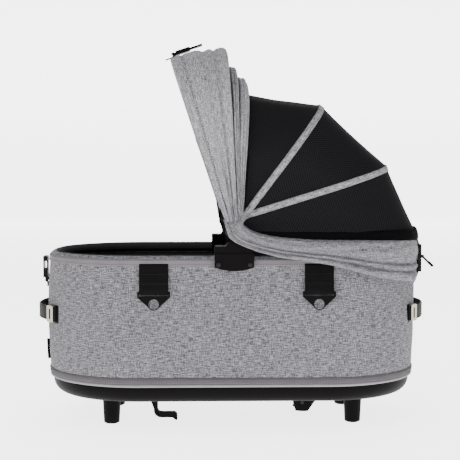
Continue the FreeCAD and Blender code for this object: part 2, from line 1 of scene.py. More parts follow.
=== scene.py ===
import math
import bmesh
import bpy
import numpy as np
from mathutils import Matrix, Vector


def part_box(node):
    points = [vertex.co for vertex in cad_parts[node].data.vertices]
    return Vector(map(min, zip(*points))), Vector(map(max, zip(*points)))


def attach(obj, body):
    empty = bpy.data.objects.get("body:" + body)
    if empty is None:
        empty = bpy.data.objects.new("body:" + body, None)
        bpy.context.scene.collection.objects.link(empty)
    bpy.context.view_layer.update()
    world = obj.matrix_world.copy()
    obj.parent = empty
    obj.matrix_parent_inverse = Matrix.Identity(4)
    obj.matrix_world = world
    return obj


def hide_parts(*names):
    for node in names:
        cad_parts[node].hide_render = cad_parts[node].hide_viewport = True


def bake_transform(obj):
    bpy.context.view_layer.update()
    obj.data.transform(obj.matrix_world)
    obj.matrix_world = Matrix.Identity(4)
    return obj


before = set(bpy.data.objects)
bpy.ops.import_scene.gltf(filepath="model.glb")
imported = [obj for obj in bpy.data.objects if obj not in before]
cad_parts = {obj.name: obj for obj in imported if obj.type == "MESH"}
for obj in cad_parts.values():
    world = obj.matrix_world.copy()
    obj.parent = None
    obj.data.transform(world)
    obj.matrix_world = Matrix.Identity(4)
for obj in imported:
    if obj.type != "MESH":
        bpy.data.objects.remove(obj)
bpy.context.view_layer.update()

# Shapes are written in millimetres about the middle of the carrycot and turned into metres here.
tray_low, tray_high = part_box("base_tray")
MIDDLE_X = (tray_low.x + tray_high.x) / 2

# body: half its length and width, the flat part of its ends, and the swell of its wall
HALF_LENGTH = 325.0
HALF_WIDTH = 181.5
END_FLAT = 17.0
SWELL_LENGTH = 5.0
SWELL_WIDTH = 3.5
SWELL_Z = 192.0
SWELL_SPAN = 112.0
# webbing straps across the body, and the arc of the handles round its ends
STRAP_X = {"front": -135.0, "rear": 143.0}
STRAP_HALF = 24.3
HANDLE_CENTRE = 183.7
HANDLE_Z = 196.0
# hood: its axis as (X, Z), the radii of its bows, points inside it, and the lean of its front edge
AXIS = (-8.0, 345.0)
CORNER_R = 110.0
CROWN_R = 480.0
HOOD_IN = (40, 0, 430)
NET_IN = (60.0, 0.0, 345.0)
FRONT_LEAN = -18.4


def metres(points):
    q = np.array(points, float) / 1000
    q[..., 0] += MIDDLE_X
    return q


def smooth(x, a, b):
    t = np.clip((np.asarray(x, float) - a) / (b - a), 0, 1)
    return t * t * (3 - 2 * t)


def waves(a, b, seed, scale_a, scale_b, count=9):
    """Smooth random field over two lengths, about -1 to 1."""
    rng = np.random.default_rng(seed)
    out = 0
    for _ in range(count):
        fa, fb = rng.uniform(0.35, 1.5, 2) * rng.choice([-1, 1], 2)
        out = out + np.sin(2 * np.pi * (a * fa / scale_a + b * fb / scale_b) + rng.uniform(0, 6.28))
    return out / math.sqrt(count) * 0.8


# ------------------------------------------------------------------ materials
def new_material(name):
    m = bpy.data.materials.new(name)
    m.use_nodes = True
    nt = m.node_tree
    return m, nt, nt.nodes["Principled BSDF"]


def link(nt, a, b):
    nt.links.new(a, b)


def math_node(nt, op, a, b=0.0):
    n = nt.nodes.new("ShaderNodeMath")
    n.operation = op
    for i, x in enumerate((a, b)):
        if isinstance(x, (int, float)):
            n.inputs[i].default_value = x
        else:
            link(nt, x, n.inputs[i])
    return n.outputs[0]


def noise(nt, coords, scale, detail=2.0, rough=0.5):
    mp = nt.nodes.new("ShaderNodeMapping")
    mp.inputs["Scale"].default_value = scale
    link(nt, coords, mp.inputs["Vector"])
    n = nt.nodes.new("ShaderNodeTexNoise")
    n.inputs["Scale"].default_value = 1.0
    n.inputs["Detail"].default_value = detail
    n.inputs["Roughness"].default_value = rough
    link(nt, mp.outputs[0], n.inputs["Vector"])
    return n.outputs[0]


def spread(nt, value, gain):
    """Centre a noise on zero and stretch it."""
    return math_node(nt, "MULTIPLY", math_node(nt, "SUBTRACT", value, 0.5), gain)


def tint(nt, colour, factor, socket):
    mix = nt.nodes.new("ShaderNodeMix")
    mix.data_type = "RGBA"
    mix.blend_type = "MULTIPLY"
    mix.inputs[0].default_value = 1.0
    mix.inputs[6].default_value = (*colour, 1)
    link(nt, factor, mix.inputs[7])
    link(nt, mix.outputs[2], socket)


def bump(nt, height, strength, distance, bsdf):
    n = nt.nodes.new("ShaderNodeBump")
    n.inputs["Strength"].default_value = strength
    n.inputs["Distance"].default_value = distance
    link(nt, height, n.inputs["Height"])
    link(nt, n.outputs[0], bsdf.inputs["Normal"])


def threads(nt, uv, pitch_u, pitch_v):
    """Woven height: crossing rows of threads."""
    sep = nt.nodes.new("ShaderNodeSeparateXYZ")
    link(nt, uv, sep.inputs[0])
    a = math_node(nt, "SINE", math_node(nt, "MULTIPLY", sep.outputs[0], 2 * math.pi / pitch_u))
    b = math_node(nt, "SINE", math_node(nt, "MULTIPLY", sep.outputs[1], 2 * math.pi / pitch_v))
    return math_node(nt, "MULTIPLY", a, b)


def melange(name, colour, contrast=1.0, pitch=0.0012, rough=0.92):
    """Two-tone linen: slubs along and across, fine grain, a woven surface."""
    m, nt, bsdf = new_material(name)
    uv = nt.nodes.new("ShaderNodeTexCoord").outputs["UV"]
    along = spread(nt, noise(nt, uv, (80, 640, 1), 2.0, 0.65), 3.6 * contrast)
    across = spread(nt, noise(nt, uv, (640, 100, 1), 2.0, 0.65), 2.5 * contrast)
    grain = spread(nt, noise(nt, uv, (620, 620, 1), 1.0, 0.5), 2.4 * contrast)
    cloud = spread(nt, noise(nt, uv, (16, 16, 1), 2.0, 0.5), 0.25)
    total = math_node(nt, "ADD", math_node(nt, "ADD", along, across), math_node(nt, "ADD", grain, cloud))
    tone = math_node(nt, "MAXIMUM", math_node(nt, "ADD", total, 1.0), 0.35)
    tint(nt, colour, tone, bsdf.inputs["Base Color"])
    relief = math_node(nt, "ADD", math_node(nt, "MULTIPLY", total, 0.6), threads(nt, uv, pitch, pitch))
    bump(nt, relief, 0.35, 0.0003, bsdf)
    bsdf.inputs["Roughness"].default_value = rough
    bsdf.inputs["Specular IOR Level"].default_value = 0.2
    return m


def cloth(name, colour, pitch=0.0011, var=0.25, rough=0.9, spec=0.2, ribs=None, strength=0.35):
    """Plain or ribbed woven cloth and webbing."""
    m, nt, bsdf = new_material(name)
    uv = nt.nodes.new("ShaderNodeTexCoord").outputs["UV"]
    grain = spread(nt, noise(nt, uv, (500, 500, 1), 2.0, 0.6), var)
    cloud = spread(nt, noise(nt, uv, (25, 25, 1), 2.0, 0.5), var)
    tone = math_node(nt, "ADD", math_node(nt, "ADD", grain, cloud), 1.0)
    tint(nt, colour, tone, bsdf.inputs["Base Color"])
    pu, pv = ribs or (pitch, pitch)
    bump(nt, threads(nt, uv, pu, pv), strength, 0.0004, bsdf)
    bsdf.inputs["Roughness"].default_value = rough
    bsdf.inputs["Specular IOR Level"].default_value = spec
    return m


def net(name, colour, pitch=0.0052):
    """Knitted mesh: black yarn with small, nearly closed holes in staggered rows."""
    m, nt, bsdf = new_material(name)
    uv = nt.nodes.new("ShaderNodeTexCoord").outputs["UV"]
    height = threads(nt, uv, pitch, pitch)
    hole = nt.nodes.new("ShaderNodeMapRange")
    hole.interpolation_type = "SMOOTHSTEP"
    hole.inputs["From Min"].default_value = 0.66
    hole.inputs["From Max"].default_value = 0.84
    link(nt, height, hole.inputs["Value"])
    yarn = nt.nodes.new("ShaderNodeMapRange")
    yarn.inputs["From Min"].default_value = -0.6
    yarn.inputs["From Max"].default_value = 0.7
    yarn.inputs["To Min"].default_value = 1.7
    yarn.inputs["To Max"].default_value = 0.25
    link(nt, height, yarn.inputs["Value"])
    tint(nt, colour, yarn.outputs[0], bsdf.inputs["Base Color"])
    bsdf.inputs["Roughness"].default_value = 0.9
    bsdf.inputs["Specular IOR Level"].default_value = 0.04
    clear = nt.nodes.new("ShaderNodeBsdfTransparent")
    mix = nt.nodes.new("ShaderNodeMixShader")
    link(nt, math_node(nt, "MULTIPLY", hole.outputs[0], 0.13), mix.inputs[0])
    link(nt, bsdf.outputs[0], mix.inputs[1])
    link(nt, clear.outputs[0], mix.inputs[2])
    link(nt, mix.outputs[0], nt.nodes["Material Output"].inputs["Surface"])
    return m


def moulded(name, colour, rough=0.55, grain=700.0, strength=0.25, metallic=0.0, spec=0.4, brushed=None):
    """Hard parts: fine texture, small changes of tone and gloss."""
    m, nt, bsdf = new_material(name)
    at = nt.nodes.new("ShaderNodeTexCoord").outputs["Object"]
    fine = noise(nt, at, brushed or (grain, grain, grain), 2.0, 0.6)
    broad = noise(nt, at, (18, 18, 18), 3.0, 0.6)
    tone = math_node(nt, "ADD", spread(nt, fine, 0.35), spread(nt, broad, 0.35))
    tint(nt, colour, math_node(nt, "ADD", tone, 1.0), bsdf.inputs["Base Color"])
    link(nt, math_node(nt, "ADD", spread(nt, broad, 0.2), rough), bsdf.inputs["Roughness"])
    bump(nt, fine, strength, 0.0003, bsdf)
    bsdf.inputs["Metallic"].default_value = metallic
    bsdf.inputs["Specular IOR Level"].default_value = spec
    return m


def leather(name, colour):
    """Grained leather from small cells."""
    m, nt, bsdf = new_material(name)
    at = nt.nodes.new("ShaderNodeTexCoord").outputs["Object"]
    cells = nt.nodes.new("ShaderNodeTexVoronoi")
    cells.inputs["Scale"].default_value = 900.0
    link(nt, at, cells.inputs["Vector"])
    broad = noise(nt, at, (60, 60, 60), 3.0, 0.6)
    tint(nt, colour, math_node(nt, "ADD", spread(nt, broad, 0.8), 1.0), bsdf.inputs["Base Color"])
    bump(nt, cells.outputs["Distance"], 0.4, 0.0004, bsdf)
    bsdf.inputs["Roughness"].default_value = 0.62
    bsdf.inputs["Specular IOR Level"].default_value = 0.05
    return m


GREY = melange("linen_grey", (0.118, 0.1145, 0.124), 1.25)
# painted light: a lighter copy of the grey linen for the hood's fan, its pleats and the sleeves on its bows,
# standing for the light on the top of the hood
LIT_FAN_GREY = melange("linen_hood_painted_light", (0.205, 0.199, 0.211), 1.05)
SKIRT_GREY = melange("linen_skirt", (0.128, 0.124, 0.133), 1.1)
TAPE = melange("tape_grey", (0.180, 0.174, 0.183), 1.1)
BINDING = cloth("binding_taupe", (0.124, 0.114, 0.121), ribs=(0.0013, 0.0024), var=0.5)
# painted shade: a darker copy of the taupe binding, used for the lower band only
SHADED_LOW_BINDING = cloth("binding_low_painted_shade", (0.070, 0.064, 0.069), ribs=(0.0013, 0.0024), var=0.4)
PIPING = cloth("piping_pale", (0.19, 0.185, 0.19), ribs=(0.0016, 0.0016), var=0.4)
BLACK_CLOTH = cloth("lining_black", (0.0024, 0.0022, 0.0026), var=0.4, spec=0.02)
# painted shade: the grey facing cloth inside the rim, drawn dark for the shade it lies in
SHADED_FACING = cloth("facing_painted_shade", (0.032, 0.031, 0.033), var=0.4, spec=0.02)
WEBBING = cloth(
    "webbing_black", (0.0022, 0.0020, 0.0021), var=0.4, rough=0.45, spec=0.05,
    ribs=(0.0030, 0.0016), strength=0.8,
)
NET = net("net_black", (0.0062, 0.0060, 0.0068))
MAT_CLOTH = melange("mat_cloth", (0.14, 0.137, 0.14), 0.7)
THREAD_GREY = cloth("thread_grey", (0.15, 0.145, 0.15), rough=0.7)
THREAD_DARK = cloth("thread_dark", (0.035, 0.033, 0.035), rough=0.7)
THREAD_BLACK = cloth("thread_black", (0.006, 0.006, 0.006), rough=0.6)
LEATHER = leather("leather_black", (0.0042, 0.0040, 0.0041))
PLASTIC = moulded("plastic_black", (0.0026, 0.0021, 0.0023), 0.55, 900, 0.25, spec=0.04)
PLASTIC_GREY = moulded("plastic_grey", (0.03, 0.03, 0.032), 0.55, spec=0.15)
BOW = moulded("bow_plastic", (0.006, 0.006, 0.0065), 0.5, spec=0.1)
BUCKLE = moulded("buckle_black", (0.0024, 0.0024, 0.0026), 0.32, 500, 0.1, spec=0.09)
RUBBER = moulded("rubber_black", (0.004, 0.004, 0.004), 0.85, 400, 0.3, spec=0.03)
STEEL = moulded("steel", (0.42, 0.42, 0.43), 0.35, metallic=1.0, strength=0.1)
DARK_STEEL = moulded("steel_blackened", (0.008, 0.008, 0.0082), 0.4, metallic=0.6, strength=0.1)
ALU = moulded("rim_aluminium", (0.5, 0.5, 0.51), 0.4, metallic=1.0, strength=0.1)
CHAMPAGNE = moulded(
    "keeper_metal", (0.27, 0.235, 0.19), 0.34, metallic=1.0, strength=0.06, brushed=(60, 60, 1800)
)
BOARD = moulded("board", (0.30, 0.22, 0.14), 0.8, brushed=(40, 400, 400))

CAD_LOOK = [
    (STEEL, "base_screws latch_springs hood_base_wire"),
    (DARK_STEEL, "latch_shaft bracket_screws hinge_pins"),
    (CHAMPAGNE, "handle_keepers"),
    (ALU, "rim_tube"),
    (BOARD, "floor_board wall_board"),
    (RUBBER, "foot_pads"),
    (PLASTIC_GREY, "latch_jaws"),
    (BOW, "mesh_bow_rear mesh_bow_middle mesh_bow_front fan_bow_rear fan_bow_front front_bow"),
    (BUCKLE, "front_buckle rear_buckle hood_clip zip_pull zip_slider"),
]
look = {node: m for m, names in CAD_LOOK for node in names.split()}
for node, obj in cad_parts.items():
    obj.data.materials.clear()
    obj.data.materials.append(look.get(node, PLASTIC))


# ------------------------------------------------------------------ meshes
def mesh_object(name, verts, faces, uvs, material, outward=None):
    """verts in metres, faces (n, k) indices, uvs (n, k, 2) in metres."""
    faces = np.asarray(faces)
    if outward is not None:
        c = verts[faces].mean(1)
        n = np.cross(verts[faces[:, 2]] - verts[faces[:, 0]], verts[faces[:, -1]] - verts[faces[:, 1]])
        if (n * (c - outward)).sum() < 0:
            faces = faces[:, ::-1]
            uvs = uvs[:, ::-1]
    me = bpy.data.meshes.new(name)
    me.from_pydata(verts.tolist(), [], faces.tolist())
    layer = me.uv_layers.new(name="UVMap")
    layer.data.foreach_set("uv", np.asarray(uvs, np.float32).reshape(-1))
    me.polygons.foreach_set("use_smooth", np.ones(len(me.polygons), bool))
    me.materials.append(material)
    obj = bpy.data.objects.new(name, me)
    bpy.context.scene.collection.objects.link(obj)
    return obj


def lengths(line):
    return np.concatenate([[0], np.cumsum(np.linalg.norm(np.diff(line, axis=0), axis=1))])


def surface(name, pts, material, loop_u=False, loop_v=False, centre=(0, 0, 200), thick=0.0, true_v=False):
    """Grid of quads. pts is (rows, columns, 3) in millimetres, and centre is a point on its inner side."""
    pts = np.asarray(pts, float)
    nv, nu, _ = pts.shape
    q = metres(pts)
    row = q[nv // 2]
    col = q[:, nu // 2]
    if loop_u:
        row = np.vstack([row, row[:1]])
    if loop_v:
        col = np.vstack([col, col[:1]])
    lu = lengths(row)
    lv = lengths(col)
    rows = nv if loop_v else nv - 1
    cols = nu if loop_u else nu - 1
    i, j = [x.reshape(-1) for x in np.meshgrid(np.arange(rows), np.arange(cols), indexing="ij")]
    i2 = (i + 1) % nv
    j2 = (j + 1) % nu
    faces = np.stack([i * nu + j, i * nu + j2, i2 * nu + j2, i2 * nu + j], -1)
    uvs = np.stack(
        [np.stack([lu[a], lv[b]], -1) for a, b in ((j, i), (j + 1, i), (j + 1, i + 1), (j, i + 1))], 1
    )
    if true_v:
        down = np.cumsum(np.linalg.norm(np.diff(q, axis=0), axis=2), axis=0)
        uvs[..., 1] = np.concatenate([np.zeros((1, nu)), down]).reshape(-1)[faces]
    obj = mesh_object(name, q.reshape(-1, 3), faces, uvs, material, metres(centre))
    if thick:
        mod = obj.modifiers.new("thickness", "SOLIDIFY")
        mod.thickness = thick / 1000
        mod.offset = -1
    return obj


def stitches(name, path, normals, material, pitch=4.4, length=3.0, width=0.9, height=0.55, lift=0.15):
    """A row of sewn stitches along a line of points."""
    path = np.asarray(path, float)
    normals = np.asarray(normals, float)
    s = lengths(path)
    at = np.arange(pitch / 2, s[-1] - pitch / 2, pitch)
    centre = np.stack([np.interp(at, s, path[:, k]) for k in range(3)], -1)
    ahead = np.stack([np.interp(at + 0.5, s, path[:, k]) for k in range(3)], -1)
    n = np.stack([np.interp(at, s, normals[:, k]) for k in range(3)], -1)
    n /= np.linalg.norm(n, axis=1, keepdims=True)
    t = ahead - centre
    t /= np.maximum(np.linalg.norm(t, axis=1, keepdims=True), 1e-9)
    b = np.cross(t, n)
    five = [(math.cos(a), math.sin(a)) for a in np.arange(5) * 2 * math.pi / 5]
    unit = [(-0.5, 0, 0)] + [(-0.28, x, y) for x, y in five] + [(0.28, x, y) for x, y in five] + [(0.5, 0, 0)]
    unit = np.array(unit) * (length, width / 2, height / 2)
    tris = []
    for k in range(5):
        k2 = (k + 1) % 5
        tris += [(0, 1 + k2, 1 + k), (1 + k, 1 + k2, 6 + k2), (1 + k, 6 + k2, 6 + k), (6 + k, 6 + k2, 11)]
    basis = np.stack([t, b, n], 1)
    pts = centre[:, None] + n[:, None] * lift + np.einsum("pk,nkc->npc", unit, basis)
    faces = (np.array(tris)[None] + 12 * np.arange(len(at))[:, None, None]).reshape(-1, 3)
    verts = metres(pts.reshape(-1, 3))
    uvs = np.tile(np.array([[0, 0], [0.001, 0], [0, 0.001]]), (len(faces), 1, 1))
    return mesh_object(name, verts, faces, uvs, material)


def section_sweep(name, path, side, out, half, round_power, material, steps=16, centre=(0, 0, 200)):
    """Rounded flat strip along a path. side and out are unit vectors across and through the strip."""
    a = np.linspace(0, 2 * np.pi, steps, endpoint=False)
    cs = np.sign(np.cos(a)) * np.abs(np.cos(a)) ** round_power * half[0]
    sn = np.sign(np.sin(a)) * np.abs(np.sin(a)) ** round_power * half[1]
    pts = path[:, None] + side[:, None] * cs[None, :, None] + out[:, None] * sn[None, :, None]
    pts = np.swapaxes(pts, 0, 1)
    obj = surface(name, pts, material, loop_v=True, centre=centre)
    nu = pts.shape[1]
    bm = bmesh.new()
    bm.from_mesh(obj.data)
    bm.verts.ensure_lookup_table()
    bm.faces.new([bm.verts[k * nu] for k in reversed(range(steps))])
    bm.faces.new([bm.verts[k * nu + nu - 1] for k in range(steps)])
    bmesh.ops.recalc_face_normals(bm, faces=bm.faces)
    bm.to_mesh(obj.data)
    bm.free()
    return obj


def put(obj, body, slot, *nodes):
    """Fix a piece to one body and hide the CAD nodes that it stands for; slot is not used."""
    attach(obj, body)
    if nodes:
        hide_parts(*nodes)
    return obj


def bend(obj, a, b, angle, first, last, slot, *nodes):
    """Cloth between two bows: bakes its placing into the mesh and hides the CAD nodes that it stands for. a,
    b and slot are not used; the lean and offsets go into points that are dropped.
    """
    t = math.radians(angle)
    along = np.array([math.cos(t), 0, -math.sin(t)])
    base = np.array([AXIS[0], 0, AXIS[1]])
    tuple(metres(base + along * first))
    tuple(metres(base + along * last))
    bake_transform(obj)
    if nodes:
        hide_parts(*nodes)
    return obj


# ------------------------------------------------------------------ soft body
def plan_columns(count):
    """Columns round the body: corner-centre signs and outward normal for each, and its place on the girth."""
    r = HALF_WIDTH - END_FLAT
    cx, cy = HALF_LENGTH - r, END_FLAT
    arc = math.pi * r / 2
    parts = [cy, arc, 2 * cx, arc, 2 * cy, arc, 2 * cx, arc, cy]
    s = np.linspace(0, sum(parts), count, endpoint=False)
    edges = np.concatenate([[0], np.cumsum(parts)])
    cols = []
    for x in s:
        k = min(np.searchsorted(edges, x, side="right") - 1, 8)
        f = (x - edges[k]) / parts[k]
        if k == 0:
            cols.append((1, f, 1, 0))
        elif k == 8:
            cols.append((1, f - 1, 1, 0))
        elif k == 4:
            cols.append((-1, 1 - 2 * f, -1, 0))
        elif k == 2:
            cols.append((1 - 2 * f, 1, 0, 1))
        elif k == 6:
            cols.append((2 * f - 1, -1, 0, -1))
        else:
            turn = {1: 0, 3: 1, 5: 2, 7: 3}[k] * math.pi / 2 + f * math.pi / 2
            sx = 1 if k in (1, 7) else -1
            sy = 1 if k in (1, 3) else -1
            cols.append((sx, sy, math.cos(turn), math.sin(turn)))
    return np.array(cols), s


COLS, GIRTH = plan_columns(560)
OUT = np.stack([COLS[:, 2], COLS[:, 3], np.zeros(len(COLS))], -1)


def swell(z):
    """Share of the wall's swell at a height: 1 in the middle, 0 at the top and the bottom."""
    return 1 - ((z - SWELL_Z) / SWELL_SPAN) ** 2


def ring(z, off):
    """One loop round the body at height z (a number or an array over the columns)."""
    z = np.broadcast_to(np.asarray(z, float), (len(COLS),))
    off = np.broadcast_to(np.asarray(off, float), (len(COLS),))
    hl = HALF_LENGTH + SWELL_LENGTH * swell(z) - off
    hw = HALF_WIDTH + SWELL_WIDTH * swell(z) - off
    r = hw - END_FLAT
    x = COLS[:, 0] * (hl - r) + COLS[:, 2] * r
    y = COLS[:, 1] * END_FLAT + COLS[:, 3] * r
    return np.stack([x, y, z], -1)


def sweep_rings(name, profile, material, loop=True, thick=0.0):
    """Profile of (offset inwards, z) points, carried round the body."""
    pts = np.stack([ring(z, off) for off, z in profile])
    return surface(name, pts, material, loop_u=True, loop_v=loop, thick=thick)


skin_rows = []
for z in np.linspace(86.6, 289.5, 44):
    fade = smooth(z, 92, 125) * (1 - smooth(z, 262, 285))
    level = z + 0 * GIRTH
    puff = 0.9 * waves(GIRTH, level, 5, 150, 120) * fade + 0.35 * waves(GIRTH, level, 6, 45, 60) * fade
    # the cloth is drawn in a little under each strap
    x = ring(z, 0)[:, 0]
    pull = sum(np.exp(-((x - sx) / 34.0) ** 2) for sx in STRAP_X.values()) * np.abs(COLS[:, 3]) ** 4
    skin_rows.append(ring(z, -puff + 0.6 * pull * smooth(z, 200, 280)))
body_skin = surface("body_skin", np.stack(skin_rows), GREY, loop_u=True, thick=1.6)
put(body_skin, "cot", "fabric_grey", "body_fabric")

lining_rows = []
for z in np.linspace(93.6, 290, 34):
    soft = 0.7 * waves(GIRTH, z + 0 * GIRTH, 8, 110, 90) + 0.4 * waves(GIRTH, z + 0 * GIRTH, 9, 40, 50)
    lining_rows.append(ring(z, 6.4 + 0.8 * soft * smooth(z, 93, 110) * (1 - smooth(z, 275, 290))))
lining = surface("inner_lining", np.stack(lining_rows), BLACK_CLOTH, loop_u=True, thick=0.8)
put(lining, "cot", "fabric_black", "body_lining")


def round_profile(off, z, r, count):
    """Circle of radius r, as (offset inwards, z) points."""
    a = np.linspace(0, 2 * np.pi, count, endpoint=False)
    return [(off - r * math.cos(t), z + r * math.sin(t)) for t in a]


hem = sweep_rings("rim_hem_cloth", round_profile(7.4, 296.0, 7.55, 22), GREY)
put(hem, "cot", "fabric_grey", "rim_hem")
upper_profile = [
    (0.4, 286.4), (-0.9, 286.6), (-1.5, 287.6), (-1.55, 290.0), (-1.35, 292.4), (-1.6, 294.6), (-1.6, 296.6),
    (-1.0, 298.1), (0.3, 298.5), (0.6, 297.4), (0.1, 292.0), (0.3, 288.0),
]
upper = sweep_rings("upper_binding_tape", upper_profile, BINDING)
put(upper, "cot", "fabric_taupe", "upper_binding")
inner_profile = [
    (14.6, 299.0), (15.7, 297.6), (16.0, 294.5), (15.4, 291.0), (14.0, 289.4), (13.4, 291.5), (13.8, 296.0),
]
inner_tape = sweep_rings("inner_binding_tape", inner_profile, BLACK_CLOTH)
put(inner_tape, "cot", "fabric_black")
inner_cord = sweep_rings("inner_piping", round_profile(8.2, 286.0, 1.5, 10), TAPE)
put(inner_cord, "cot", "piping_grey")
# the facing inside the rim is grey cloth drawn in the dark tone of painted shade
facing_profile = [
    (10.4, 303.9), (12.4, 303.0), (14.6, 300.8), (16.2, 297.4), (15.4, 292.4), (12.2, 289.0), (9.8, 287.6),
    (7.6, 284.0), (6.9, 276.0), (6.2, 262.0),
]
inner_fall = sweep_rings("inner_facing", facing_profile, SHADED_FACING, loop=False, thick=0.9)
put(inner_fall, "cot", "fabric_black")
lower_profile = [
    (0.5, 86.0), (-0.9, 86.2), (-1.7, 87.4), (-1.75, 91.0),
    (-1.7, 95.2), (-1.0, 96.9), (0.3, 97.2), (0.5, 92.0),
]
# the lower band uses the darker copy of the binding (painted shade)
lower = sweep_rings("lower_binding_tape", lower_profile, SHADED_LOW_BINDING)
put(lower, "cot", "fabric_taupe", "lower_binding")
piping = sweep_rings("base_piping", round_profile(1.0, 83.4, 2.7, 12), PIPING)
put(piping, "cot", "piping_grey", "lower_piping")


def ring_stitches(name, z, off, material, pitch, length):
    """A row of stitches right round the body."""
    path = ring(z, off)
    path = np.vstack([path, path[:1]])
    n = np.vstack([OUT, OUT[:1]])
    put(stitches(name, path, n, material, pitch, length), "cot", "fabric_taupe")


ring_stitches("stitch_upper_a", 288.9, -1.6, THREAD_DARK, 4.0, 2.6)
ring_stitches("stitch_upper_b", 296.2, -1.65, THREAD_DARK, 4.0, 2.6)
ring_stitches("stitch_lower", 94.4, -1.8, THREAD_DARK, 4.4, 3.0)
ring_stitches("stitch_piping", 88.2, -1.75, THREAD_GREY, 4.4, 2.8)

# blank sewn label at the front end, low on the wall: a folded tab that stands off the cloth
LABEL_Y = -52.0
LABEL_SECTION = [
    (-3.6, -1), (-1.6, -1), (0.0, -0.9), (1.1, -0.7), (1.3, 0), (1.1, 0.7), (0.0, 0.9), (-1.6, 1), (-3.6, 1),
]
label_z = np.linspace(111, 147, 12)
wall_x = HALF_LENGTH + SWELL_LENGTH * swell(label_z)
tab = []
for depth, side in LABEL_SECTION:
    tab.append(np.stack([-wall_x - depth, 0.8 * side + LABEL_Y + 0 * label_z, label_z], -1))
label = surface("blank_label", np.stack(tab), BLACK_CLOTH, centre=(-300, LABEL_Y, 130), thick=0.5)
put(label, "cot", "fabric_black")


# ------------------------------------------------------------------ webbing
def ribbon(name, line, width_axis, centre_at, half, material, thick, wave=0.0, seed=1, cols=14):
    """Webbing that follows a 2D line in the plane across width_axis (0 for X, 1 for Y)."""
    line = np.asarray(line, float)
    s = lengths(line)
    at = np.linspace(0, s[-1], max(12, int(s[-1] / 1.6)))
    a = np.interp(at, s, line[:, 0])
    b = np.interp(at, s, line[:, 1])
    w = np.linspace(-half, half, cols)
    A, W = np.meshgrid(a, w, indexing="ij")
    B, _ = np.meshgrid(b, w, indexing="ij")
    S, _ = np.meshgrid(at, w, indexing="ij")
    A = A + wave * waves(S, W, seed, 30, 40)
    if width_axis == 0:
        pts = np.stack([W + centre_at, A, B], -1)
    else:
        pts = np.stack([A, W + centre_at, B], -1)
    return surface(name, pts, material, thick=thick)


def bez(points, count=24):
    """Rounded line through a few points."""
    p = np.asarray(points, float)
    s = lengths(p)
    at = np.linspace(0, s[-1], count)
    fine = np.stack([np.interp(at, s, p[:, k]) for k in range(p.shape[1])], -1)
    for _ in range(3):
        fine[1:-1] = (fine[:-2] + 2 * fine[1:-1] + fine[2:]) / 4
    return fine


for tag, sx in STRAP_X.items():
    for side_name, sy in (("left", -1), ("right", 1)):
        a = np.linspace(0, math.pi, 14)
        outer = [(184.2, 290.5), (185.6, 287.5), (187.6, 276.0), (189.9, 262.0), (192.2, 249.0)]
        arc = [(189.0 + 3.7 * math.cos(t), 242.0 - 3.7 * math.sin(t)) for t in a]
        inner = [(186.3, 249.0), (184.9, 262.0), (184.1, 280.0)]
        line = np.array(outer + arc + inner)
        line[:, 0] *= sy
        name = "webbing_" + tag + "_" + side_name
        web = ribbon(name, line, 0, sx, STRAP_HALF, WEBBING, 1.3, 0.18, 311 + int(sx))
        put(web, "cot", "webbing_black")
        # rows of stitches across the webbing, above the bar
        for z_row in (256.5, 259.0, 273.5):
            heights, depths = [242.0, 249.0, 262.0, 276.0, 287.5], [192.8, 192.2, 189.9, 187.6, 185.6]
            y_row = np.interp(z_row, heights, depths) + 0.1
            xs = np.linspace(sx - 21.5, sx + 21.5, 20)
            path = np.stack([xs, 0 * xs + sy * y_row, 0 * xs + z_row], -1)
            nrm = np.tile([0, sy * 0.98, 0.17], (20, 1))
            name = "stitch_strap_%s_%s_%d" % (tag, side_name, int(z_row))
            row = stitches(name, path, nrm, THREAD_BLACK, 3.0, 2.3, 1.0, 0.8)
            put(row, "cot", "webbing_black")
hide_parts("strap_webbing")

# ------------------------------------------------------------------ carry handles
for tag, sx, node in (("front", -1, "front_handle"), ("rear", 1, "rear_handle")):
    ang = np.radians(np.linspace(-40.8, 40.8, 90))
    wob = 0.35 * np.sin(ang * 7 + sx)
    r = 163.3 + 0.3 * np.sin(ang * 5)
    path = np.stack([sx * (HANDLE_CENTRE + r * np.cos(ang)), r * np.sin(ang), HANDLE_Z + wob], -1)
    out = np.stack([sx * np.cos(ang), np.sin(ang), 0 * ang], -1)
    up = np.tile([0.0, 0, 1], (90, 1))
    strap = section_sweep("leather_" + tag, path, up, out, (12.4, 1.7), 0.35, LEATHER, steps=20)
    put(strap, "cot", "leather_black", node)
    for k, dz in enumerate((-9.6, 9.6)):
        line = path + out * 1.75 + up * dz
        keep = np.abs(np.degrees(ang)) < 38
        name = "stitch_handle_%s_%d" % (tag, k)
        row = stitches(name, line[keep], out[keep], THREAD_BLACK, 4.0, 2.8, 0.8, 0.6)
        put(row, "cot", "leather_black")
    # sewn anchor patch where each end of the handle meets the wall
    for k, a0 in enumerate((-39.6, 39.6)):
        t = math.radians(a0)
        zz = np.linspace(-15.5, 15.5, 14)
        tt = t + np.radians(np.linspace(-2.6, 2.6, 10))
        T, Z = np.meshgrid(tt, zz, indexing="ij")
        rr = 161.2 + 0.8 * (1 - (Z / 15.5) ** 4)
        patch = np.stack([sx * (HANDLE_CENTRE + rr * np.cos(T)), rr * np.sin(T), HANDLE_Z + Z], -1)
        put(surface("anchor_%s_%d" % (tag, k), patch, LEATHER, thick=1.2), "cot", "leather_black")


